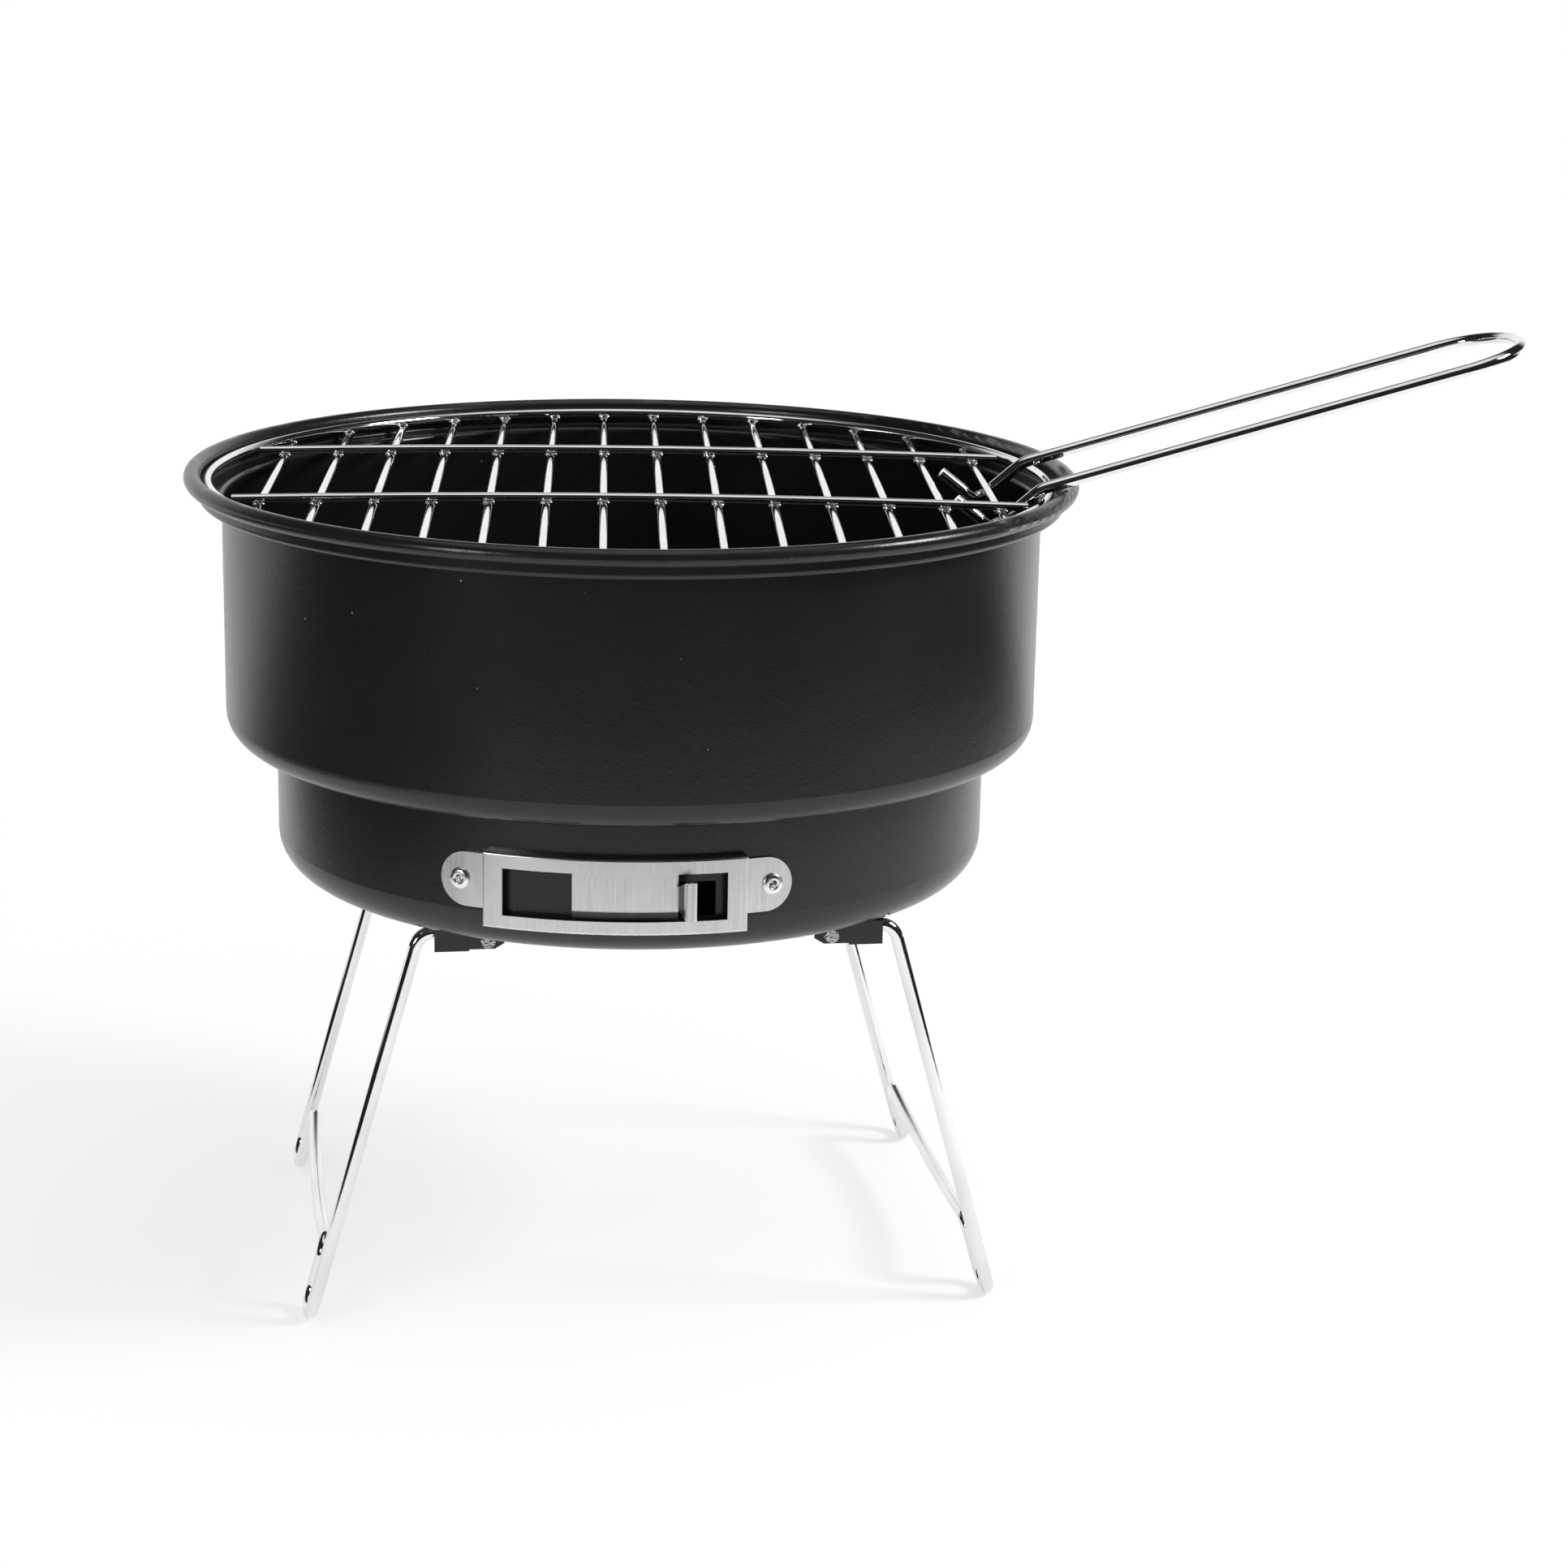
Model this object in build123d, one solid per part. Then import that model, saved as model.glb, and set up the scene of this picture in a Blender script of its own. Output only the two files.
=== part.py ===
from build123d import *
import os
from math import asin, atan, atan2, cos, degrees, radians, sin, sqrt, tan

# Folding camp grill: a stepped steel fire bowl on two folding wire legs, with a
# shuttered air vent, a charcoal plate, and a loose wire grate with a lift-off handle.
# Millimetres. The origin is on the ground under the bowl's axis, +Z is up,
# +X points to the handle's side and -Y to the vent's side.

# --- bowl ---
RIM_RADIUS = 132.5          # outside of the rolled rim
BOWL_UNDERSIDE = 122.0      # height of the bowl's flat bottom above the ground
BOWL_HEIGHT = 120.4         # from the flat bottom to the top of the rolled rim
SHEET = 0.8                 # steel sheet of the bowl
ROLL_RADIUS = 2.45          # rolled bead along the rim
LIP_HEIGHT = 8.9            # from the ledge's underside to the top of the rim
LEDGE_STEP = 6.8            # how far the drum stands in from the lip
STEP_HEIGHT = 40.6          # from the flat bottom to the step's underside
STEP_WIDTH = 14.9           # how far the lower drum stands in from the upper drum
SHOULDER_BEND = 7.8         # outer bend between the upper drum and the step
BOTTOM_BEND = 11.4          # outer bend between the lower drum and the flat bottom
TIGHT_BEND = 1.6            # outer side of the small sheet bends

# --- charcoal plate ---
PLATE_THICKNESS = 1.0
PLATE_MARGIN = 0.9          # from the plate's edge to the start of the shoulder's bend
PLATE_HOLE_RADIUS = 4.5
PLATE_HOLE_PITCH = 21.0     # between rings of holes
PLATE_HOLE_RINGS = 4
REST_GAP = 0.05             # under a flat piece that rests loose

# --- grate ---
GRATE_WIRE = 1.4            # radius of the ring's and the crossbars' wire
LONG_BAR_WIRE = 1.25
GRATE_CLEARANCE = 1.5       # from the ring's outside to the lip
CROSSBARS = 14
OUTER_BAR_INSET = 18.3      # from the ring's centre line to the outermost crossbar
BAR_END_INSET = 0.5         # from the ring's centre line to a crossbar's end
LONG_BAR_OFFSET = 41.6      # of each long bar from the middle
LONG_BAR_END_INSET = 3.6    # from a long bar's end to the ring's centre line
DOME_RISE = 1.9             # of the grate's middle over its edge
WELD_SINK = 0.2             # how far crossing wires melt into each other
GRATE_TURN = -6.3           # how the loose grate lies turned in the bowl, degrees
GRATE_SHIFT = -0.8          # how far it lies off the bowl's axis, along X
WIRE_GAP = 0.3              # between loose round pieces that rest on each other

# --- handle ---
HANDLE_WIRE = 1.75
HANDLE_WIDTH = 45.8         # between the centre lines of its two strands
HANDLE_OFFSET = -10.0       # of its middle from the grate's middle
HANDLE_REACH = 261.5        # from the grate's middle to the handle's tip
HANDLE_RISE = 16.4          # slope of its outer length, degrees
HANDLE_TIP_BEND = 21.5
HOOK_DROP = 6.9             # from the last crossbar down to the hook's corner
HOOK_SETBACK = 1.4          # of the hook's corner behind the crossbar
HOOK_END_BACK = 12.4        # from the crossbar back to the hook's cut end
HOOK_END_RISE = 2.9         # of the cut end over the crossbar
HOOK_BEND = 4.0
KNEE_BEND = 10.0

# --- legs ---
LEG_WIRE = 2.0
HINGE_OFFSET = 49.3         # of each hinge from the bowl's axis
HINGE_DROP = 3.8            # of each hinge below the bowl's bottom
CRANK_REACH = 19.2          # from the hinge out to the leg's top corner
STOP_GAP = 0.3              # between the crank and the bowl's bottom
LEG_LEAN = 15.6             # from upright, degrees
CRANK_BEND = 5.5
PIN_BEND = 3.0
LEG_HALF_WIDTH = 66.8       # centre line of the inner leg's shafts from the middle
NEST_GAP = 0.5              # between the two legs' shafts when both are folded
FOOT_WIDTH = 12.0           # between the shaft and the riser at a foot
FOOT_FLAT = 0.1             # straight length under a foot, between its two bends
RISER = 20.0                # from the foot's centre line up to the rail
RISER_BEND = 4.0
RAIL_DIP = 7.0              # of the rail's middle point below its ends
RAIL_END = 1.0              # straight length of the rail beside each riser's bend
PIN_STICKOUT = 2.0          # of the hinge pin past its flange

# --- brackets ---
BRACKET_SHEET = 1.0
BRACKET_OUTER_EDGE = 15.2   # from the hinge outwards
BRACKET_INNER_EDGE = 4.8    # from the hinge inwards
BRACKET_STEP_PLACE = 5.3    # of the step in the flange's lower edge, from the hinge outwards
BRACKET_STEP = 0.5
PIN_WALL = 1.2              # of flange under the hinge's hole
PIN_CLEARANCE = 0.06        # radial, between the hinge pin and its hole
FLANGE_GAP = 2.0            # between the leg's crank and the flange
CRANK_SLOT_GAP = 0.8        # beside the crank, in the bracket's web
CRANK_SLOT_START = 2.7      # of the web's slot, from the hinge outwards

# --- vent ---
# Azimuths are in degrees round the bowl's axis: 0 faces -Y and 90 faces +X.
VENT_SHEET = 0.8
VENT_CENTRE = -9.1
COVER_HALF_ANGLE = 19.6
COVER_STANDOFF = 3.1        # from the drum to the cover's outer face
COVER_BOTTOM = 8.0          # above the bowl's flat bottom
COVER_HEIGHT = 21.7
WINDOW_HALF_ANGLE = 16.5
COVER_EDGE = 0.6            # rounding of the cover's pressed outer edges
WINDOW_BOTTOM = 3.9         # above the cover's lower edge
WINDOW_HEIGHT = 13.6
TAB_HEIGHT = 15.7
TAB_RAISE = 1.6             # of the tabs' middle over the cover's middle
TAB_HALF_ANGLE = 27.0       # from the vent's centre to each tab's tip
RIVET_HALF_ANGLE = 23.8
RIVET_SHANK = 1.6
RIVET_HEAD = 3.0
RIVET_HEAD_HEIGHT = 1.0
RIVET_EDGE = 0.6            # rounding of the rivet's head
RIVET_TAIL = 2.4
RIVET_TAIL_HEIGHT = 1.25
RIVET_TAIL_GAP = 0.25       # the tail's bulb stops this far short of the sheet
RIVET_HOLLOW = 1.0
INLET_START = -10.5
INLET_END = 6.0
INLET_BOTTOM = 12.5         # above the bowl's flat bottom
INLET_HEIGHT = 10.0
SLIDER_START = -15.3
SLIDER_END = 0.2
SLIDER_GAP = 0.3            # between the slider and the cover or the drum
SLIDER_END_GAP = 0.4        # above and below the slider, inside the cover's edges
SLIDER_STRIP = 5.4          # height of the slider's lower strip, which slopes back
KNOB_MIDDLE = 4.2           # above the strip
KNOB_ROOT = 5.0
KNOB_FRONT = 11.0
KNOB_STANDOUT = 5.0         # past the cover's outer face
KNOB_LEAN = 19.0            # of the knob's web from straight out, degrees
HEM_WIDTH = 2.9
HEM_BEND = 0.7
HEM_GROOVE = 0.5            # where the folded sheet's edge meets the web

# --- values that follow ---
rim_top = BOWL_UNDERSIDE + BOWL_HEIGHT
roll_centre_z = rim_top - ROLL_RADIUS
roll_centre_radius = RIM_RADIUS - ROLL_RADIUS
lip_inner = RIM_RADIUS - 2 * ROLL_RADIUS
lip_outer = lip_inner + SHEET
ledge_underside = rim_top - LIP_HEIGHT
ledge_top = ledge_underside + SHEET
drum_outer = lip_outer - LEDGE_STEP
step_underside = BOWL_UNDERSIDE + STEP_HEIGHT
step_top = step_underside + SHEET
lower_outer = drum_outer - STEP_WIDTH

ring_radius = lip_inner - GRATE_CLEARANCE - GRATE_WIRE
crossbar_z = ledge_top + GRATE_WIRE + WIRE_GAP
ring_z = crossbar_z + 2 * GRATE_WIRE - WELD_SINK
outer_bar_offset = ring_radius - OUTER_BAR_INSET
bar_end_radius = ring_radius - BAR_END_INSET
crossbar_pitch = 2 * outer_bar_offset / (CROSSBARS - 1)

hinge_z = BOWL_UNDERSIDE - HINGE_DROP
crank_z = BOWL_UNDERSIDE - LEG_WIRE - STOP_GAP
leg_half_widths = {
    "left": LEG_HALF_WIDTH,
    "right": LEG_HALF_WIDTH + 2 * LEG_WIRE + NEST_GAP,
}
side_turn = {"left": 180, "right": 0}

cover_outer = lower_outer + COVER_STANDOFF
cover_inner = cover_outer - VENT_SHEET
wall_clear_inside = lower_outer - 2 * SHEET
cover_bottom = BOWL_UNDERSIDE + COVER_BOTTOM
cover_top = cover_bottom + COVER_HEIGHT
tab_centre_z = cover_bottom + COVER_HEIGHT / 2 + TAB_RAISE
tab_outer = lower_outer + VENT_SHEET
window_bottom = cover_bottom + WINDOW_BOTTOM


def bent_wire(points, radii, wire_radius):
    """Round wire through the points, with one bend radius at each corner."""
    path = FilletPolyline(*points, radius=radii)
    section = Plane(origin=path @ 0, z_dir=path % 0) * Circle(wire_radius)
    return sweep(section, path=path).solid()


def arched_wire(start, middle, end, wire_radius):
    """Round wire along the one arc through three points."""
    path = ThreePointArc(start, middle, end)
    section = Plane(origin=path @ 0, z_dir=path % 0) * Circle(wire_radius)
    return sweep(section, path=path).solid()


def swung(section, start, end):
    """Turn a flat section, given as radius and height, from one azimuth to another."""
    return Rot(0, 0, start - 90) * revolve(Plane.XZ * section, Axis.Z, end - start)


def curved_block(inner, outer, low, high, start, end):
    """Block between two radii and two heights, from one azimuth to another."""
    section = Pos((inner + outer) / 2, (low + high) / 2) * Rectangle(outer - inner, high - low)
    return swung(section, start, end)


def facing_out(azimuth, z):
    """Plane at the bowl's axis whose normal points out at the azimuth, with its Y axis up."""
    outward = (sin(radians(azimuth)), -cos(radians(azimuth)), 0)
    sideways = (cos(radians(azimuth)), sin(radians(azimuth)), 0)
    return Plane(origin=(0, 0, z), x_dir=sideways, z_dir=outward)


def radial_cylinder(azimuth, z, radius, inner, outer):
    """Cylinder that points out from the bowl's axis, between two distances from it."""
    return extrude(facing_out(azimuth, z).offset(inner) * Circle(radius), outer - inner)


def turned(points, radii):
    """Solid of revolution of a closed outline given as radius and height."""
    outline = FilletPolyline(*points, radius=radii, close=True)
    return revolve(Plane.XZ * make_face(outline), Axis.Z, 360)


def bowl_envelope(inset):
    """The bowl's stepped form, set in by a share of its sheet, up to the roll's centre."""
    tight_out = TIGHT_BEND - inset
    tight_in = TIGHT_BEND - SHEET + inset
    points = [
        (0, BOWL_UNDERSIDE + inset),
        (lower_outer - inset, BOWL_UNDERSIDE + inset),
        (lower_outer - inset, step_underside + inset),
        (drum_outer - inset, step_underside + inset),
        (drum_outer - inset, ledge_underside + inset),
        (lip_outer - inset, ledge_underside + inset),
        (lip_outer - inset, roll_centre_z + inset),
        (0, roll_centre_z + inset),
    ]
    radii = [0, BOTTOM_BEND - inset, tight_in, SHOULDER_BEND - inset, tight_in, tight_out, 0, 0]
    return turned(points, radii)


def make_bowl():
    shell = bowl_envelope(0) - bowl_envelope(SHEET)
    roll = Pos(0, 0, roll_centre_z) * Torus(roll_centre_radius, ROLL_RADIUS)
    inlet_low = BOWL_UNDERSIDE + INLET_BOTTOM
    inlet_high = inlet_low + INLET_HEIGHT
    wall_outside = lower_outer + SHEET
    inlet = curved_block(wall_clear_inside, wall_outside, inlet_low, inlet_high, INLET_START, INLET_END)
    bowl = shell + roll - inlet
    for azimuth in rivet_azimuths():
        bowl -= radial_cylinder(azimuth, tab_centre_z, RIVET_SHANK, wall_clear_inside, cover_outer)
    return bowl.solid()


def make_charcoal_plate():
    flat_end = drum_outer - SHOULDER_BEND
    plate = Cylinder(flat_end - PLATE_MARGIN, PLATE_THICKNESS, align=(Align.CENTER, Align.CENTER, Align.MIN))
    hole = Cylinder(PLATE_HOLE_RADIUS, 4 * PLATE_THICKNESS)
    for ring in range(PLATE_HOLE_RINGS + 1):
        for spot in PolarLocations(ring * PLATE_HOLE_PITCH, max(1, 6 * ring)):
            plate -= spot * hole
    return Pos(0, 0, step_top + REST_GAP) * plate.solid()


def rivet_azimuths():
    return [VENT_CENTRE - RIVET_HALF_ANGLE, VENT_CENTRE + RIVET_HALF_ANGLE]


def make_tab(side):
    """Flat ear at one end of the cover, with a round tip."""
    tab_half = TAB_HEIGHT / 2
    round_angle = degrees(tab_half / tab_outer)
    round_azimuth = VENT_CENTRE + side * (TAB_HALF_ANGLE - round_angle)
    wall_azimuth = VENT_CENTRE + side * COVER_HALF_ANGLE
    start, end = sorted((round_azimuth, wall_azimuth))
    band = curved_block(lower_outer, tab_outer, tab_centre_z - tab_half, tab_centre_z + tab_half, start, end)
    start, end = round_azimuth - 2 * round_angle, round_azimuth + 2 * round_angle
    strip = curved_block(lower_outer, tab_outer, tab_centre_z - tab_half, tab_centre_z + tab_half, start, end)
    tip = strip & radial_cylinder(round_azimuth, tab_centre_z, tab_half, wall_clear_inside, cover_outer)
    return band + tip


def make_vent_cover():
    start = VENT_CENTRE - COVER_HALF_ANGLE
    end = VENT_CENTRE + COVER_HALF_ANGLE
    end_wall = degrees(VENT_SHEET / cover_outer)
    block = curved_block(lower_outer, cover_outer, cover_bottom, cover_top, start, end).solid()
    outer_face = block.faces().filter_by(GeomType.CYLINDER).sort_by(SortBy.AREA)[-1]
    block = fillet(outer_face.edges(), COVER_EDGE)
    hollow = curved_block(
        wall_clear_inside, cover_inner, cover_bottom + VENT_SHEET, cover_top - VENT_SHEET,
        start + end_wall, end - end_wall,
    )
    window = curved_block(
        wall_clear_inside, cover_outer + VENT_SHEET, window_bottom, window_bottom + WINDOW_HEIGHT,
        VENT_CENTRE - WINDOW_HALF_ANGLE, VENT_CENTRE + WINDOW_HALF_ANGLE,
    )
    cover = block + make_tab(-1) + make_tab(1) - hollow - window
    for azimuth in rivet_azimuths():
        cover -= radial_cylinder(azimuth, tab_centre_z, RIVET_SHANK, wall_clear_inside, cover_outer)
    return cover.solid()


def make_rivet(azimuth):
    """Hollow rivet: a rounded head outside, a shank through both sheets and a spread tail inside."""
    wall_inner = lower_outer - SHEET
    head_top = tab_outer + RIVET_HEAD_HEIGHT
    tail_end = wall_inner - RIVET_TAIL_GAP - RIVET_TAIL_HEIGHT
    shank = radial_cylinder(azimuth, tab_centre_z, RIVET_SHANK, tail_end, head_top)
    head = radial_cylinder(azimuth, tab_centre_z, RIVET_HEAD, tab_outer, head_top)
    head_middle = facing_out(azimuth, tab_centre_z).offset(head_top).origin
    rim = head.edges().filter_by(GeomType.CIRCLE).sort_by_distance(head_middle)[0]
    head = fillet(rim, RIVET_EDGE)
    tail = radial_cylinder(azimuth, tab_centre_z, RIVET_TAIL, tail_end, wall_inner - RIVET_TAIL_GAP)
    hollow = radial_cylinder(azimuth, tab_centre_z, RIVET_HOLLOW, wall_inner, head_top + SHEET)
    return (shank + head + tail - hollow).solid()


def make_knob(root_radius, middle_z):
    """Finger tab: a web folded out through the window, with its front edge hemmed."""
    outward = facing_out(SLIDER_END, 0).z_dir
    sideways = facing_out(SLIDER_END, 0).x_dir
    lean = radians(KNOB_LEAN)
    along_web = outward * cos(lean) + sideways * sin(lean)
    web_plane = Plane(
        origin=outward * root_radius,
        x_dir=along_web,
        z_dir=outward * sin(lean) - sideways * cos(lean),
    )
    length = (cover_outer + KNOB_STANDOUT - root_radius) / cos(lean)
    web_outline = Polyline(
        (0, middle_z - KNOB_ROOT / 2),
        (length - HEM_BEND, middle_z - KNOB_FRONT / 2),
        (length - HEM_BEND, middle_z + KNOB_FRONT / 2),
        (0, middle_z + KNOB_ROOT / 2),
        close=True,
    )
    web = extrude(web_plane * make_face(web_outline), VENT_SHEET)
    front = outward * (root_radius + length * cos(lean)) + sideways * (length * sin(lean))
    hem_depth = 2 * VENT_SHEET
    hem_plane = Plane(origin=front - outward * hem_depth, x_dir=sideways, z_dir=outward)
    hem_middle = HEM_WIDTH / 2 - VENT_SHEET
    hem = extrude(hem_plane * Pos(hem_middle, middle_z) * Rectangle(HEM_WIDTH, KNOB_FRONT), hem_depth)
    hem = fillet(hem.edges().filter_by(Axis.Z), HEM_BEND)
    groove_plane = hem_plane.offset(hem_depth)
    groove = groove_plane * Pos(hem_middle, middle_z) * Box(HEM_GROOVE, 2 * KNOB_FRONT, 2 * HEM_GROOVE)
    return web + hem - groove


def make_vent_slider():
    low = cover_bottom + VENT_SHEET + SLIDER_END_GAP
    high = cover_top - VENT_SHEET - SLIDER_END_GAP
    strip_top = low + SLIDER_STRIP
    face_outer = cover_inner - SLIDER_GAP
    strip_inner = lower_outer + SLIDER_GAP
    section = Polyline(
        (strip_inner, low),
        (strip_inner + VENT_SHEET, low),
        (face_outer, strip_top),
        (face_outer, high),
        (face_outer - VENT_SHEET, high),
        (face_outer - VENT_SHEET, strip_top),
        close=True,
    )
    plate = swung(make_face(section), SLIDER_START, SLIDER_END)
    knob = make_knob(face_outer - VENT_SHEET, strip_top + KNOB_MIDDLE)
    return (plate + knob).solid()


def make_bracket(side):
    shaft_y = leg_half_widths[side]
    flange_inner = shaft_y + LEG_WIRE + FLANGE_GAP
    flange_outer = flange_inner + BRACKET_SHEET
    outer_x = HINGE_OFFSET + BRACKET_OUTER_EDGE
    inner_x = HINGE_OFFSET - BRACKET_INNER_EDGE
    bottom = hinge_z - LEG_WIRE - PIN_WALL
    web_z = BOWL_UNDERSIDE - BRACKET_SHEET / 2
    web = Pos((outer_x + inner_x) / 2, 0, web_z) * Box(outer_x - inner_x, 2 * flange_outer, BRACKET_SHEET)
    slot_start = HINGE_OFFSET + CRANK_SLOT_START
    slot_width = flange_inner - shaft_y + LEG_WIRE + CRANK_SLOT_GAP
    slot = Box(
        outer_x - slot_start + BRACKET_SHEET, slot_width, 2 * BRACKET_SHEET,
        align=(Align.MIN, Align.MAX, Align.CENTER),
    )
    flange_outline = Polyline(
        (outer_x, BOWL_UNDERSIDE),
        (outer_x, bottom),
        (HINGE_OFFSET + BRACKET_STEP_PLACE, bottom),
        (HINGE_OFFSET + BRACKET_STEP_PLACE, bottom + BRACKET_STEP),
        (HINGE_OFFSET - LEG_WIRE, bottom + BRACKET_STEP),
        (inner_x, hinge_z - LEG_WIRE / 2),
        (inner_x, BOWL_UNDERSIDE),
        close=True,
    )
    flange = extrude(Plane.XZ * make_face(flange_outline), BRACKET_SHEET / 2, both=True)
    hole = Rot(90, 0, 0) * Cylinder(LEG_WIRE + PIN_CLEARANCE, 4 * BRACKET_SHEET)
    flange -= Pos(HINGE_OFFSET, 0, hinge_z) * hole
    bracket = web
    for end in (-1, 1):
        crank_slot = Pos(slot_start, flange_inner, web_z) * slot
        if end < 0:
            crank_slot = mirror(crank_slot, about=Plane.XZ)
        bracket -= crank_slot
        bracket += Pos(0, end * (flange_inner + flange_outer) / 2, 0) * flange
    return (Rot(0, 0, side_turn[side]) * bracket).solid()


def make_leg(side):
    shaft_y = leg_half_widths[side]
    riser_y = shaft_y - FOOT_WIDTH
    pin_end = shaft_y + LEG_WIRE + FLANGE_GAP + BRACKET_SHEET + PIN_STICKOUT
    top_x = HINGE_OFFSET + CRANK_REACH
    foot_length = (crank_z - LEG_WIRE) / cos(radians(LEG_LEAN))

    def down_leg(length, y):
        """Point at a length down the leaning plane of the leg."""
        return (top_x + length * sin(radians(LEG_LEAN)), y, crank_z - length * cos(radians(LEG_LEAN)))

    half = [
        (HINGE_OFFSET, pin_end, hinge_z),
        (HINGE_OFFSET, shaft_y, hinge_z),
        (top_x, shaft_y, crank_z),
        down_leg(foot_length, shaft_y),
        down_leg(foot_length, riser_y),
        down_leg(foot_length - RISER, riser_y),
    ]
    middle = down_leg(foot_length - RISER + RAIL_DIP, 0)
    other_half = [(x, -y, z) for x, y, z in reversed(half)]

    # The rail's shallow curve runs almost from riser to riser.
    rail_slope = atan(RAIL_DIP / riser_y)
    riser_tangent = RISER_BEND * tan((radians(90) + rail_slope) / 2)
    rail_tangent = sqrt(riser_y**2 + RAIL_DIP**2) - riser_tangent - RAIL_END
    rail_bend = rail_tangent / tan(rail_slope)
    foot_bend = (FOOT_WIDTH - FOOT_FLAT) / 2
    bends = [PIN_BEND, CRANK_BEND, foot_bend, foot_bend, RISER_BEND]
    leg = bent_wire(half + [middle] + other_half, bends + [rail_bend] + bends[::-1], LEG_WIRE)
    return Rot(0, 0, side_turn[side]) * leg


def on_grate(piece):
    """Place a piece made in the grate's own frame."""
    return Pos(GRATE_SHIFT, 0, 0) * Rot(0, 0, GRATE_TURN) * piece


def dome_z(u, v):
    """Height of the crossbars' centre surface at a place on the grate."""
    return crossbar_z + DOME_RISE * (1 - (u**2 + v**2) / bar_end_radius**2)


def make_grate_ring():
    return on_grate(Pos(0, 0, ring_z) * Torus(ring_radius, GRATE_WIRE)).solid()


def make_crossbar(number):
    u = -outer_bar_offset + (number - 1) * crossbar_pitch
    end = sqrt(bar_end_radius**2 - u**2)
    wire = arched_wire((u, -end, crossbar_z), (u, 0, dome_z(u, 0)), (u, end, crossbar_z), GRATE_WIRE)
    return on_grate(wire)


def make_long_bar(v):
    lift = GRATE_WIRE + LONG_BAR_WIRE - WELD_SINK
    end = sqrt(ring_radius**2 - v**2) - LONG_BAR_END_INSET
    end_z = dome_z(end, v) + lift
    middle = (0, v, dome_z(0, v) + lift)
    return on_grate(arched_wire((-end, v, end_z), middle, (end, v, end_z), LONG_BAR_WIRE))


def handle_profile():
    """Side outline of the handle: cut end, hook corner, knee, and the slope's height at the tip."""
    near_v = abs(HANDLE_OFFSET) + HANDLE_WIDTH / 2
    hook_u = outer_bar_offset - HOOK_SETBACK
    hook_z = crossbar_z + WIRE_GAP - HOOK_DROP + DOME_RISE / 2
    cut_end = (outer_bar_offset - HOOK_END_BACK, crossbar_z + HOOK_END_RISE)

    # The hook's outer arm just clears the ring where the ring comes nearest.
    ring_u = sqrt(ring_radius**2 - near_v**2)
    ring_reach = GRATE_WIRE + HANDLE_WIRE + 2 * WIRE_GAP
    away = sqrt((ring_u - hook_u) ** 2 + (ring_z - hook_z) ** 2)
    arm_angle = atan2(ring_z - hook_z, ring_u - hook_u) + asin(ring_reach / away)

    # The slope lies just over the rolled rim, or over the ring where that stands higher.
    slope = radians(HANDLE_RISE)
    roll_u = sqrt(roll_centre_radius**2 - near_v**2) - GRATE_SHIFT
    roll_reach = ROLL_RADIUS + HANDLE_WIRE + WIRE_GAP
    over_roll = roll_centre_z + roll_reach / cos(slope) - roll_u * tan(slope)
    over_ring = ring_z + ring_reach / cos(slope) - ring_u * tan(slope)
    slope_start_z = max(over_roll, over_ring)
    knee_u = (slope_start_z - hook_z + hook_u * tan(arm_angle)) / (tan(arm_angle) - tan(slope))
    knee_z = slope_start_z + knee_u * tan(slope)
    tip_z = slope_start_z + HANDLE_REACH * tan(slope)
    return cut_end, (hook_u, hook_z), (knee_u, knee_z), (HANDLE_REACH, tip_z)


def make_handle():
    profile = handle_profile()
    near = [(u, HANDLE_OFFSET - HANDLE_WIDTH / 2, z) for u, z in profile]
    far = [(u, HANDLE_OFFSET + HANDLE_WIDTH / 2, z) for u, z in reversed(profile)]
    bends = [HOOK_BEND, KNEE_BEND, HANDLE_TIP_BEND]
    return on_grate(bent_wire(near + far, bends + bends[::-1], HANDLE_WIRE))


nodes = {
    "bowl": make_bowl(),
    "charcoal_plate": make_charcoal_plate(),
    "vent_cover": make_vent_cover(),
    "vent_rivets": Compound(children=[make_rivet(azimuth) for azimuth in rivet_azimuths()]),
    "vent_slider": make_vent_slider(),
    "grate_ring": make_grate_ring(),
    "front_long_bar": make_long_bar(-LONG_BAR_OFFSET),
    "rear_long_bar": make_long_bar(LONG_BAR_OFFSET),
    "handle": make_handle(),
}
for number in range(1, CROSSBARS + 1):
    nodes[f"crossbar_{number:02d}"] = make_crossbar(number)
for side in side_turn:
    nodes[f"{side}_bracket"] = make_bracket(side)
    nodes[f"{side}_leg"] = make_leg(side)

os.makedirs("parts", exist_ok=True)
for name, shape in nodes.items():
    export_step(shape, f"parts/{name}.step")
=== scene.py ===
import math
import random

import bmesh
import bpy
from mathutils import Matrix, Vector


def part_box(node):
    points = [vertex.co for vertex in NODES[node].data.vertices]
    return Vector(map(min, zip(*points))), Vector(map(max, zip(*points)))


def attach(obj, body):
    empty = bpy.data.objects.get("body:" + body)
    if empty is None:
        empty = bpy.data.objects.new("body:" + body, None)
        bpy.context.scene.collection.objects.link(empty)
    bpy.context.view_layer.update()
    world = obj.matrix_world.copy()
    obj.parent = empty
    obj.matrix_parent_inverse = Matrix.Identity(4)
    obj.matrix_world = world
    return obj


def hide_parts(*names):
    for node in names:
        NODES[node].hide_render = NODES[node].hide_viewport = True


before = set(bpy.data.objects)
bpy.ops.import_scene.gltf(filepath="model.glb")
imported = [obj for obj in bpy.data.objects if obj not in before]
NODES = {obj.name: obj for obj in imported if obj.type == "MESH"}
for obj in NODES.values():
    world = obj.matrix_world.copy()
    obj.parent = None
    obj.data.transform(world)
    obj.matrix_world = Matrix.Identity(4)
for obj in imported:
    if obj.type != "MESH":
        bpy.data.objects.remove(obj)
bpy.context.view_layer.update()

MM = 0.001

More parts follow.
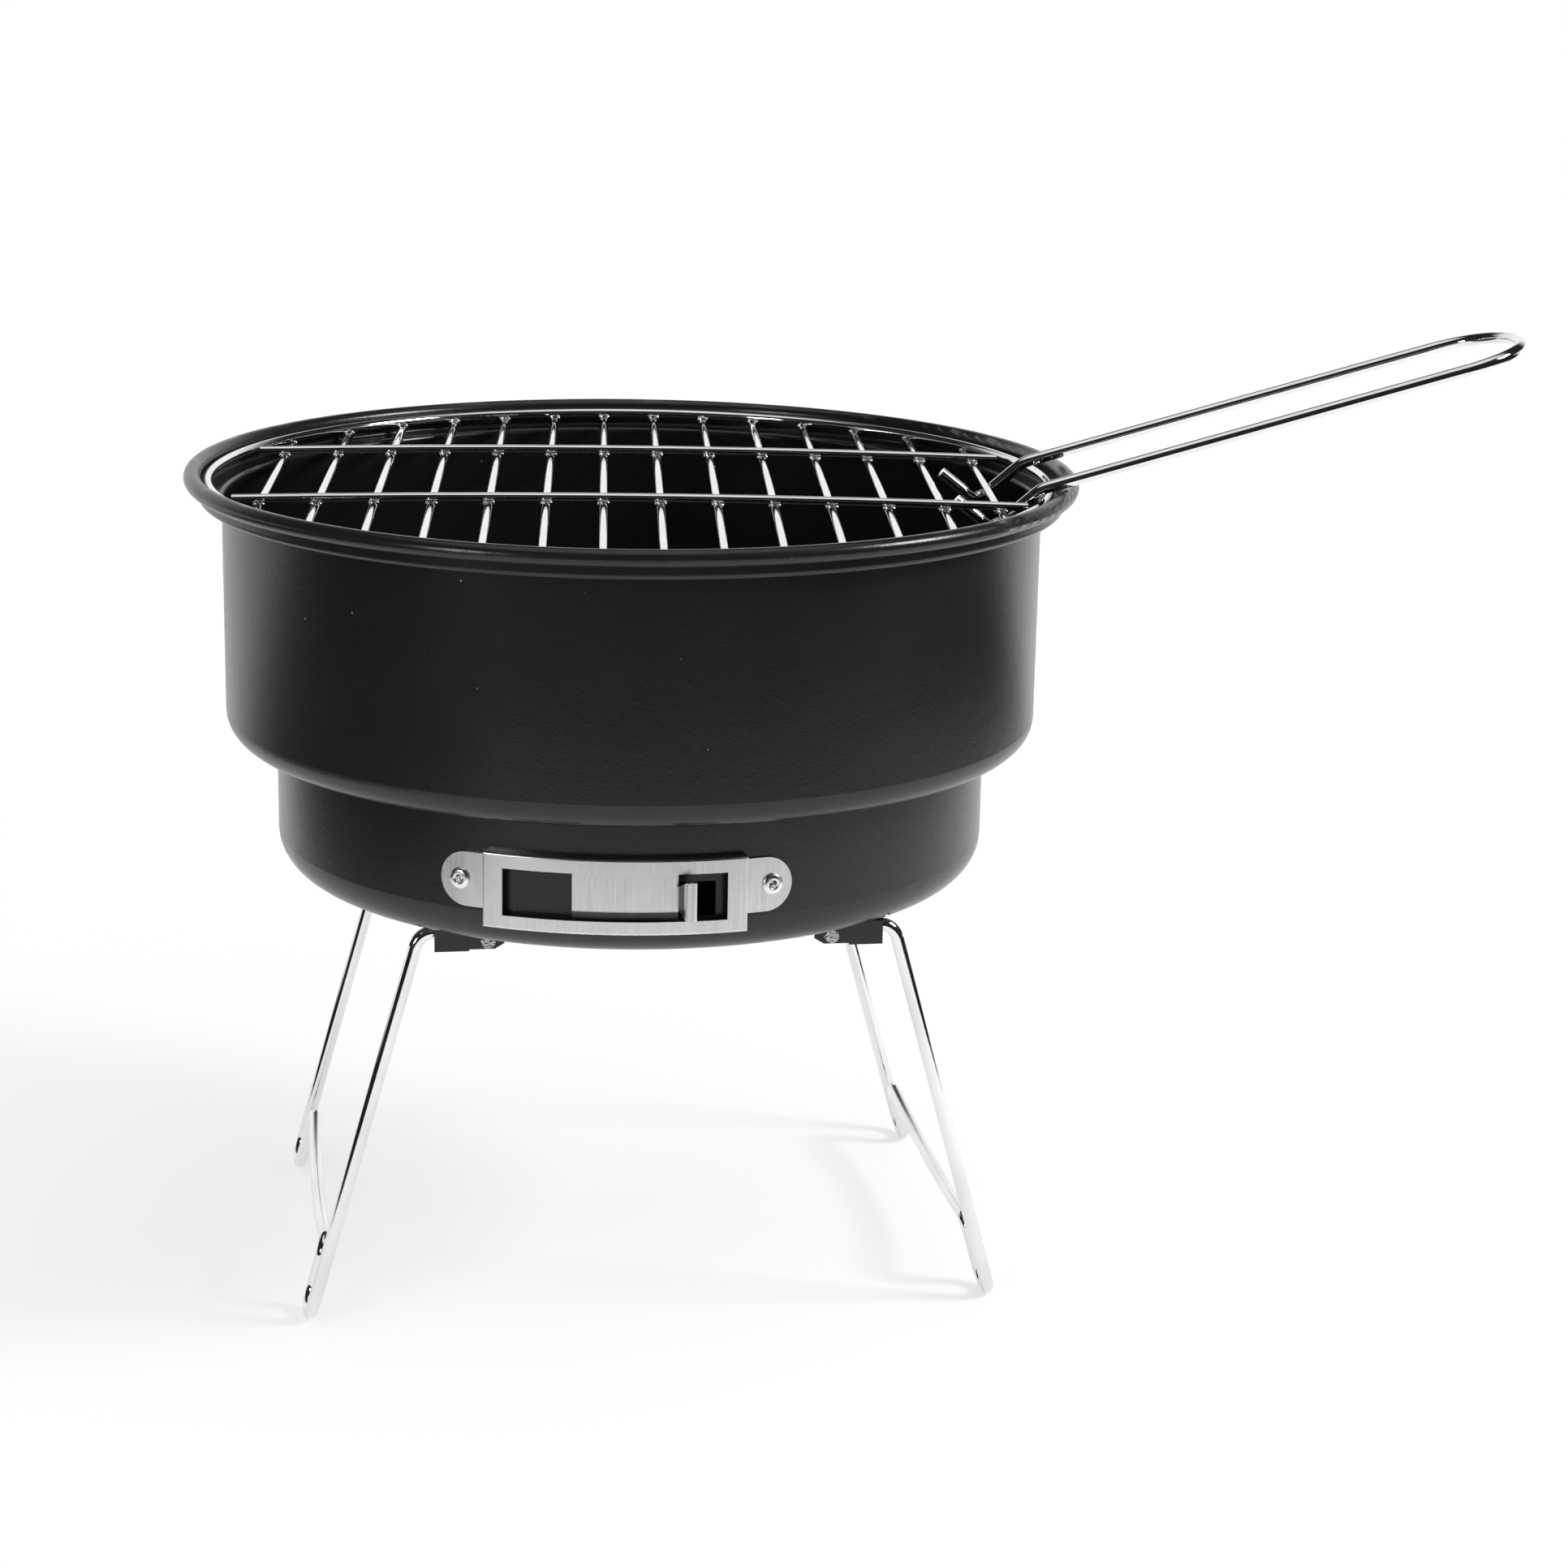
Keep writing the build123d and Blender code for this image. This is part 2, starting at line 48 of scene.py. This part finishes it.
# The grate lies turned and a little off the bowl's axis, as the CAD model places it.
GRATE_TURN = math.radians(-6.3)
GRATE_WIRE = 1.4 * MM        # radius of the ring's and the crossbars' wire
SLIDER_STRIP = 5.4 * MM      # height of the vent slider's lower strip
COVER_SHEET = 0.8 * MM
RUBBED_BAND = 1.2 * MM       # how far down the rim its coating is rubbed
NUB_LARGEST = 0.85           # largest radius of a weld nub, in mm
NUB_WANDER = 0.15            # how far a nub sits above or below its place, in mm
RIVET_HEAD = 1.0 * MM        # height of a rivet's head over the sheet
RIVET_SPOKES = 48
CROSSBARS = [f"crossbar_{number:02d}" for number in range(1, 15)]
LONG_BARS = ["front_long_bar", "rear_long_bar"]


def centre(node):
    low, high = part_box(node)
    return (low + high) / 2


# ---------------------------------------------------------------- camera
def make_camera():
    """Camera in front of the grill, a little to its left, looking down on it."""
    pan, pitch, roll = math.radians(9.466), math.radians(15.025), math.radians(1.182)
    look = Vector((math.sin(pan) * math.cos(pitch), math.cos(pan) * math.cos(pitch), -math.sin(pitch)))
    right = Vector((math.cos(pan), -math.sin(pan), 0))
    up = right.cross(look)
    rolled_right = right * math.cos(roll) + up * math.sin(roll)
    rolled_up = -right * math.sin(roll) + up * math.cos(roll)
    data = bpy.data.cameras.new("camera")
    data.sensor_fit = "HORIZONTAL"
    data.sensor_width = 36
    data.lens = 78.24
    data.clip_start = 0.01
    data.clip_end = 100
    camera = bpy.data.objects.new("camera", data)
    turn = Matrix((rolled_right, rolled_up, -look)).transposed().to_4x4()
    camera.matrix_world = Matrix.Translation((-0.11934, -0.99972, 0.41483)) @ turn
    bpy.context.scene.collection.objects.link(camera)
    bpy.context.scene.camera = camera


# ---------------------------------------------------------------- node helpers
class Graph:
    """Short names for building a node tree."""

    def __init__(self, tree):
        self.tree = tree
        self.nodes = tree.nodes
        tree.nodes.clear()

    def add(self, kind, inputs=None, **settings):
        node = self.nodes.new(kind)
        for name, value in settings.items():
            setattr(node, name, value)
        for name, value in (inputs or {}).items():
            self.set(node, name, value)
        return node

    def set(self, node, name, value):
        socket = node.inputs[name]
        if isinstance(value, bpy.types.NodeSocket):
            self.tree.links.new(value, socket)
        else:
            socket.default_value = value

    def math(self, operation, a, b=0.0, clamp=False):
        return self.add("ShaderNodeMath", {0: a, 1: b}, operation=operation, use_clamp=clamp).outputs[0]

    def vector(self, operation, a, b=(0, 0, 0)):
        return self.add("ShaderNodeVectorMath", {0: a, 1: b}, operation=operation).outputs["Vector"]

    def position(self):
        """Place on the object in the row frame, in metres: every piece's own space is that frame."""
        return self.add("ShaderNodeTexCoord").outputs["Object"]

    def noise(self, vector, scale, detail=3.0, roughness=0.5):
        inputs = {"Vector": vector, "Scale": scale, "Detail": detail, "Roughness": roughness}
        return self.add("ShaderNodeTexNoise", inputs).outputs["Fac"]

    def voronoi(self, vector, scale):
        """Distance to the nearest of many scattered points."""
        return self.add("ShaderNodeTexVoronoi", {"Vector": vector, "Scale": scale}).outputs["Distance"]

    def remap(self, value, low, high, to_low=0.0, to_high=1.0):
        inputs = {"Value": value, "From Min": low, "From Max": high, "To Min": to_low, "To Max": to_high}
        return self.add("ShaderNodeMapRange", inputs, interpolation_type="SMOOTHSTEP").outputs["Result"]

    def mix(self, amount, a, b):
        """Blend of two colours, whose sockets have numbers 6 and 7 on the mix node."""
        return self.add("ShaderNodeMix", {0: amount, 6: a, 7: b}, data_type="RGBA").outputs[2]

    def mix_value(self, amount, a, b):
        """Blend of two numbers, whose sockets have numbers 2 and 3 on the mix node."""
        return self.add("ShaderNodeMix", {0: amount, 2: a, 3: b}, data_type="FLOAT").outputs[0]

    def bump(self, height, strength, distance, normal=None):
        inputs = {"Height": height, "Strength": strength, "Distance": distance}
        if normal is not None:
            inputs["Normal"] = normal
        return self.add("ShaderNodeBump", inputs).outputs["Normal"]


def new_material(name):
    material = bpy.data.materials.new(name)
    material.use_nodes = True
    graph = Graph(material.node_tree)
    shader = graph.add("ShaderNodeBsdfPrincipled")
    output = graph.add("ShaderNodeOutputMaterial")
    graph.tree.links.new(shader.outputs["BSDF"], output.inputs["Surface"])
    return material, graph, shader


def grey(value, warm=0.0):
    return (value * (1 + warm), value, value * (1 - warm), 1)


# ---------------------------------------------------------------- materials
def coating_material():
    """Satin black heat-resistant coating: fine grain, faint orange peel, dust and a rubbed rim."""
    material, g, shader = new_material("black_coating")
    place = g.position()
    height = g.add("ShaderNodeSeparateXYZ", {"Vector": place}).outputs["Z"]
    grain = g.noise(place, 1500, 2.0, 0.6)
    peel = g.noise(place, 260, 2.0)
    cloud = g.noise(place, 14, 3.0)
    dust = g.remap(g.voronoi(place, 130), 0.035, 0.02)
    dust = g.math("MULTIPLY", dust, g.remap(g.noise(place, 9, 1.0), 0.52, 0.62))
    rim_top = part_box("bowl")[1].z
    worn = g.remap(g.noise(place, 60, 4.0), 0.52, 0.68)
    rubbed = g.math("MULTIPLY", g.remap(height, rim_top - RUBBED_BAND, rim_top), worn)
    base = g.mix(cloud, grey(0.0060), grey(0.0095))
    base = g.mix(g.math("MULTIPLY", rubbed, 0.5), base, grey(0.05))
    base = g.mix(dust, base, grey(0.32))
    g.set(shader, "Base Color", base)
    rough = g.math("ADD", g.remap(cloud, 0.3, 0.7, 0.20, 0.25), g.math("MULTIPLY", grain, 0.08))
    rough = g.math("SUBTRACT", rough, g.math("MULTIPLY", rubbed, 0.14))
    g.set(shader, "Roughness", rough)
    shader.inputs["Specular IOR Level"].default_value = 0.45
    normal = g.bump(peel, 0.10, 0.00030)
    normal = g.bump(grain, 0.50, 0.00006, normal)
    g.set(shader, "Normal", normal)
    return material


def slider_masks(g, place):
    """Masks of painted shade on the slider: where its lower strip behind the cover is darkened, and where its
    finger web stands out of the cover.
    """
    low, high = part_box("vent_slider")
    cover_face, knob_front = -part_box("vent_cover")[0].y, -low.y
    split = g.add("ShaderNodeSeparateXYZ", {"Vector": place})
    flat = g.vector("MULTIPLY", place, (1, 1, 0))
    reach = g.add("ShaderNodeVectorMath", {0: flat}, operation="LENGTH").outputs["Value"]
    behind = g.math("LESS_THAN", reach, cover_face - COVER_SHEET)
    for edge, test in ((low.x, "GREATER_THAN"), (high.x, "LESS_THAN")):
        behind = g.math("MULTIPLY", behind, g.math(test, split.outputs["X"], edge))
    # the lower strip, below this height, gets painted shade
    strip = low.z + SLIDER_STRIP
    below_strip = g.remap(split.outputs["Z"], strip + 0.2 * MM, strip - 0.4 * MM)
    # the finger web, between the cover face and the hem, gets painted shade
    past_cover = g.remap(reach, cover_face, cover_face + 0.3 * MM)
    short_of_front = g.remap(reach, knob_front - 1.4 * MM, knob_front - 1.7 * MM)
    return g.math("MULTIPLY", behind, below_strip), g.math("MULTIPLY", past_cover, short_of_front)


def steel_material():
    """Pressed stainless sheet: rolled grain across its height, scratches and specks, with painted shade on
    the slider's recessed lower strip and on its finger web.
    """
    material, g, shader = new_material("stainless_sheet")
    place = g.position()
    grain = g.noise(g.vector("MULTIPLY", place, (1700, 1700, 60)), 1.0, 4.0, 0.65)
    cross = g.noise(g.vector("MULTIPLY", place, (50, 50, 1900)), 1.0, 3.0, 0.6)
    turned = g.add("ShaderNodeVectorRotate", {"Vector": place, "Angle": 0.9}, rotation_type="Y_AXIS")
    lines = g.noise(g.vector("MULTIPLY", turned.outputs[0], (45, 45, 3200)), 1.0, 1.0)
    patch = g.remap(g.noise(place, 70, 2.0), 0.52, 0.66)
    scratch = g.math("MULTIPLY", g.remap(lines, 0.74, 0.78), patch)
    specks = g.remap(g.voronoi(place, 330), 0.07, 0.03)
    specks = g.math("MULTIPLY", specks, g.remap(g.noise(place, 60, 1.0), 0.60, 0.68))
    smudge = g.noise(place, 60, 3.0)
    strip_shade, web = slider_masks(g, place)
    base = g.mix(g.remap(smudge, 0.3, 0.7), grey(0.70, 0.014), grey(0.79, 0.010))
    base = g.mix(g.math("MULTIPLY", scratch, 0.45), base, grey(0.38, 0.01))
    base = g.mix(g.math("MULTIPLY", specks, 0.7), base, grey(0.10))
    # painted shade: the slider's lower strip behind the cover is darkened to near black
    base = g.mix(g.math("MULTIPLY", strip_shade, 0.93), base, grey(0.035))
    # painted shade: the finger web is darkened to a bluish near black
    base = g.mix(g.math("MULTIPLY", web, 0.9), base, (0.055, 0.062, 0.075, 1))
    g.set(shader, "Base Color", base)
    shader.inputs["Metallic"].default_value = 1.0
    rough = g.math("ADD", g.remap(grain, 0.3, 0.7, 0.24, 0.36), g.remap(smudge, 0.35, 0.65, 0.0, 0.06))
    g.set(shader, "Roughness", g.math("ADD", rough, g.math("MULTIPLY", strip_shade, 0.2)))
    normal = g.bump(grain, 0.14, 0.00008)
    normal = g.bump(cross, 0.08, 0.00008, normal)
    normal = g.bump(scratch, -0.25, 0.00004, normal)
    g.set(shader, "Normal", normal)
    return material


def sawn_pin_ends(g, place):
    """Where the hinge pins' sawn ends are: furthest out along Y, at the height of the brackets."""
    split = g.add("ShaderNodeSeparateXYZ", {"Vector": place})
    left_end, right_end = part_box("left_leg")[1].y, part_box("right_leg")[1].y
    on_right = g.math("GREATER_THAN", split.outputs["X"], 0.0)
    pin_end = g.math("ADD", g.math("MULTIPLY", on_right, right_end - left_end), left_end - 0.05 * MM)
    at_end = g.math("GREATER_THAN", g.math("ABSOLUTE", split.outputs["Y"]), pin_end)
    low = g.math("GREATER_THAN", split.outputs["Z"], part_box("left_bracket")[0].z)
    high = g.math("LESS_THAN", split.outputs["Z"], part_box("left_bracket")[1].z)
    return g.math("MULTIPLY", at_end, g.math("MULTIPLY", low, high))


def chrome_material():
    """Chrome plate on drawn wire: bright, with a slight draw waviness, pits and rough cut ends."""
    material, g, shader = new_material("chrome_wire")
    place = g.position()
    wave = g.noise(place, 150, 2.0)
    fine = g.noise(place, 1400, 2.0)
    pits = g.remap(g.voronoi(place, 420), 0.05, 0.02)
    pits = g.math("MULTIPLY", pits, g.remap(g.noise(place, 25, 1.0), 0.5, 0.6))
    smudge = g.noise(place, 40, 3.0)
    sawn = sawn_pin_ends(g, place)
    crystals = g.voronoi(place, 1700)
    base = g.mix(g.remap(smudge, 0.3, 0.7), grey(0.76, -0.008), grey(0.84, -0.004))
    base = g.mix(g.math("MULTIPLY", pits, 0.6), base, grey(0.25))
    base = g.mix(sawn, base, g.mix(crystals, grey(0.95), grey(0.40)))
    g.set(shader, "Base Color", base)
    shader.inputs["Metallic"].default_value = 1.0
    rough = g.remap(smudge, 0.35, 0.7, 0.045, 0.10)
    rough = g.math("ADD", rough, g.math("MULTIPLY", sawn, 0.25))
    g.set(shader, "Roughness", rough)
    rip = g.math("MULTIPLY", crystals, sawn)
    normal = g.bump(wave, 0.05, 0.0004)
    normal = g.bump(fine, 0.03, 0.00006, normal)
    normal = g.bump(pits, -0.3, 0.0001, normal)
    normal = g.bump(rip, 1.0, 0.0006, normal)
    g.set(shader, "Normal", normal)
    return material


def rivet_material():
    """Soft rivet metal, pressed smooth by the setting tool."""
    material, g, shader = new_material("rivet_metal")
    place = g.position()
    marks = g.noise(place, 900, 4.0, 0.6)
    smudge = g.noise(place, 260, 3.0)
    g.set(shader, "Base Color", g.mix(smudge, grey(0.78), grey(0.92)))
    shader.inputs["Metallic"].default_value = 1.0
    g.set(shader, "Roughness", g.remap(marks, 0.3, 0.7, 0.18, 0.34))
    g.set(shader, "Normal", g.bump(marks, 0.25, 0.0001))
    return material


def assign(material, nodes):
    for name in nodes:
        data = NODES[name].data
        data.materials.clear()
        data.materials.append(material)


# ---------------------------------------------------------------- studio
def make_floor():
    """White sweep: it looks plain white, and away from the object it reflects like an unlit studio."""
    bpy.ops.mesh.primitive_circle_add(vertices=64, radius=60, fill_type="NGON", location=(0, 0, 0))
    floor = bpy.context.object
    floor.name = "studio_floor"
    material = bpy.data.materials.new("studio_white")
    material.use_nodes = True
    g = Graph(material.node_tree)
    place = g.position()
    split = g.add("ShaderNodeSeparateXYZ", {"Vector": place})
    reach = g.add("ShaderNodeVectorMath", {0: place}, operation="LENGTH").outputs["Value"]
    far_left = g.remap(split.outputs["X"], -0.38, -0.52)
    far_right = g.remap(split.outputs["X"], 0.60, 0.75)
    far = g.math("MAXIMUM", g.remap(reach, 0.62, 0.80), g.math("MAXIMUM", far_left, far_right))
    behind = g.remap(split.outputs["Y"], 0.35, 0.65)
    white = g.mix(g.noise(place, 3, 2.0), grey(0.36), grey(0.38))
    diffuse = g.add("ShaderNodeBsdfDiffuse", {"Color": white}).outputs[0]
    lift = g.remap(reach, 0.2, 1.6, 0.58, 0.68)
    lifted = g.add("ShaderNodeEmission", {"Color": grey(1.0), "Strength": lift}).outputs[0]
    lit = g.add("ShaderNodeAddShader", {0: diffuse, 1: lifted}).outputs[0]
    unlit = g.add("ShaderNodeEmission", {"Color": grey(0.015)}).outputs[0]
    mirrored = g.add("ShaderNodeLightPath").outputs["Is Glossy Ray"]
    dark = g.math("MULTIPLY", mirrored, g.math("MULTIPLY", far, g.math("SUBTRACT", 1.0, behind)))
    mixed = g.add("ShaderNodeMixShader", {0: dark, 1: lit, 2: unlit}).outputs[0]
    g.add("ShaderNodeOutputMaterial", {"Surface": mixed})
    floor.data.materials.append(material)


def make_world():
    """Surfaces mirror white behind the grill and overhead, and dark elsewhere. Diffuse light is even."""
    world = bpy.data.worlds.new("studio_world")
    bpy.context.scene.world = world
    world.use_nodes = True
    g = Graph(world.node_tree)
    direction = g.add("ShaderNodeTexCoord").outputs["Generated"]
    split = g.add("ShaderNodeSeparateXYZ", {"Vector": direction})
    back = g.remap(split.outputs["Y"], 0.45, 0.85)
    high = g.remap(split.outputs["Z"], 0.35, 0.6)
    glow = g.math("MULTIPLY", back, g.math("SUBTRACT", 1.0, high))
    overhead = g.math("MULTIPLY", g.remap(split.outputs["Z"], 0.80, 0.92), 0.9)
    glow = g.math("MAXIMUM", g.math("MAXIMUM", glow, overhead), 0.02)
    path = g.add("ShaderNodeLightPath")
    level = g.mix_value(path.outputs["Is Diffuse Ray"], glow, 0.90)
    level = g.mix_value(path.outputs["Is Camera Ray"], level, 1.0)
    background = g.add("ShaderNodeBackground", {"Color": (1, 1, 1, 1), "Strength": level})
    g.add("ShaderNodeOutputWorld", {"Surface": background.outputs[0]})


def soft_light(name, place, target, size, watts):
    data = bpy.data.lights.new(name, "AREA")
    data.shape = "RECTANGLE"
    data.size, data.size_y = size
    data.energy = watts
    light = bpy.data.objects.new(name, data)
    light.location = place
    light.rotation_euler = (Vector(target) - Vector(place)).to_track_quat("-Z", "Y").to_euler()
    light.visible_camera = False
    bpy.context.scene.collection.objects.link(light)


def make_lights():
    soft_light("key_light", (1.15, -0.35, 0.95), (0, 0, 0.1), (0.4, 0.4), 14)
    soft_light("front_light", (-0.95, -0.85, 0.40), (0, 0, 0.18), (0.22, 0.30), 2.6)


# ---------------------------------------------------------------- weld nubs
def smooth_object(name, mesh, material):
    """Smooth-shaded object made of a bmesh, which is freed."""
    data = bpy.data.meshes.new(name)
    mesh.to_mesh(data)
    mesh.free()
    data.polygons.foreach_set("use_smooth", [True] * len(data.polygons))
    data.materials.append(material)
    piece = bpy.data.objects.new(name, data)
    bpy.context.scene.collection.objects.link(piece)
    return piece


def add_nub(mesh, rng, place, height, smallest):
    """Small rounded nub of weld metal at about a height, each of its radii at least the smallest, in mm."""
    place.z = height + rng.uniform(-NUB_WANDER, NUB_WANDER) * MM
    size = [rng.uniform(smallest, NUB_LARGEST) * MM for _ in range(3)]
    where = Matrix.Translation(place) @ Matrix.Rotation(GRATE_TURN, 4, "Z") @ Matrix.Diagonal((*size, 1))
    bmesh.ops.create_icosphere(mesh, subdivisions=2, radius=1.0, matrix=where)


def make_weld_nubs(material):
    """Nubs squeezed out on both sides of each crossbar where it is welded to another wire."""
    rng = random.Random(4)
    mesh = bmesh.new()
    along = Vector((math.cos(GRATE_TURN), math.sin(GRATE_TURN), 0))
    back = Vector((-math.sin(GRATE_TURN), math.cos(GRATE_TURN), 0))
    ring_middle = centre("grate_ring")
    ring_low, ring_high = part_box("grate_ring")
    ring_radius = (ring_high.x - ring_low.x) / 2 - GRATE_WIRE
    for name in CROSSBARS:
        low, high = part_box(name)
        middle = (low + high) / 2
        offset = (middle - ring_middle).dot(along)
        rise = high.z - GRATE_WIRE - (low.z + GRATE_WIRE)
        half = math.sqrt(ring_radius**2 - offset**2)
        for bar in LONG_BARS:
            depth = (centre(bar) - ring_middle).dot(back)
            bar_z = low.z + GRATE_WIRE + rise * (1 - (depth / half) ** 2) + 0.9 * MM
            for face in (-1, 1):
                for side in (-1, 1):
                    spread = (1.15 + rng.uniform(-0.15, 0.15)) * MM
                    step = (1.35 + rng.uniform(-0.2, 0.2)) * MM
                    place = ring_middle + along * (offset + side * spread) + back * (depth + face * step)
                    add_nub(mesh, rng, place, bar_z, 0.62)
        for end in (-1, 1):
            for side in (-1, 1):
                place = ring_middle + along * (offset + side * 1.2 * MM) + back * (end * (half - 1.6 * MM))
                add_nub(mesh, rng, place, ring_middle.z - 1.2 * MM, 0.6)
    piece = smooth_object("weld_nubs", mesh, material)
    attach(piece, "grate")


# ---------------------------------------------------------------- rivets
def rivet_profile(head_radius):
    """Half section of a set blind rivet: radius and height over the sheet, from the bore to the tail."""
    crown, shank, tail_radius = 1.55 * MM, 1.6 * MM, 2.35 * MM
    bore_floor, sheet_back, tail_end = -0.9 * MM, -1.85 * MM, -3.05 * MM
    dome = []
    for step in range(13):
        turn = math.radians(90 * step / 12)
        radius = crown + (head_radius - crown) * math.sin(turn)
        dome.append((radius, RIVET_HEAD * (0.35 + 0.65 * math.cos(turn))))
    inside = [(0.0, bore_floor), (0.95 * MM, bore_floor), (1.0 * MM, 0.25 * MM), (1.15 * MM, 0.62 * MM)]
    rim = [(1.3 * MM, RIVET_HEAD * 0.93)]
    skirt = [(head_radius, 0.02 * MM), (shank, 0.0), (shank, sheet_back)]
    tail = [(tail_radius, -2.0 * MM), (tail_radius, -2.7 * MM), (1.8 * MM, tail_end), (0.0, tail_end)]
    return inside + rim + dome + skirt + tail


def lathe(mesh, profile, place):
    """Turn a profile about its axis. A point on the axis is one vertex."""
    rings = []
    for radius, height in profile:
        count = 1 if radius == 0 else RIVET_SPOKES
        ring = []
        for spoke in range(count):
            angle = 2 * math.pi * spoke / count
            spot = Vector((radius * math.cos(angle), radius * math.sin(angle), height))
            ring.append(mesh.verts.new(place @ spot))
        rings.append(ring)
    for inner, outer in zip(rings, rings[1:]):
        for spoke in range(RIVET_SPOKES):
            after = (spoke + 1) % RIVET_SPOKES
            corners = [inner[spoke % len(inner)], inner[after % len(inner)]]
            corners += [outer[after % len(outer)], outer[spoke % len(outer)]]
            mesh.faces.new(list(dict.fromkeys(corners)))


def make_rivets(material):
    """The two rivets turned as smooth lathe forms, each on the axis of its CAD solid."""
    points = [vertex.co.copy() for vertex in NODES["vent_rivets"].data.vertices]
    middle_x = sum(point.x for point in points) / len(points)
    mesh = bmesh.new()
    for group in ([p for p in points if p.x < middle_x], [p for p in points if p.x >= middle_x]):
        heart = sum(group, Vector()) / len(group)
        outward = Vector((heart.x, heart.y, 0)).normalized()
        top = max(point.dot(outward) for point in group)
        low_z, high_z = min(p.z for p in group), max(p.z for p in group)
        seat = outward * (top - RIVET_HEAD) + Vector((0, 0, (low_z + high_z) / 2))
        sideways = Vector((0, 0, 1)).cross(outward)
        turn = Matrix((sideways, Vector((0, 0, 1)), outward)).transposed().to_4x4()
        lathe(mesh, rivet_profile((high_z - low_z) / 2), Matrix.Translation(seat) @ turn)
    bmesh.ops.recalc_face_normals(mesh, faces=mesh.faces)
    piece = smooth_object("set_rivets", mesh, material)
    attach(piece, "bowl")
    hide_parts("vent_rivets")


# ---------------------------------------------------------------- build
make_camera()
make_floor()
make_world()
make_lights()

coating = coating_material()
steel = steel_material()
chrome = chrome_material()
rivet = rivet_material()
assign(coating, ["bowl", "charcoal_plate", "left_bracket", "right_bracket"])
assign(steel, ["vent_cover", "vent_slider"])
assign(rivet, ["vent_rivets"])
assign(chrome, ["left_leg", "right_leg", "handle", "grate_ring"] + LONG_BARS + CROSSBARS)
make_weld_nubs(chrome)
make_rivets(rivet)

scene = bpy.context.scene
scene.view_settings.view_transform = "Standard"
scene.view_settings.look = "None"
scene.cycles.max_bounces = 8
scene.cycles.use_denoising = True
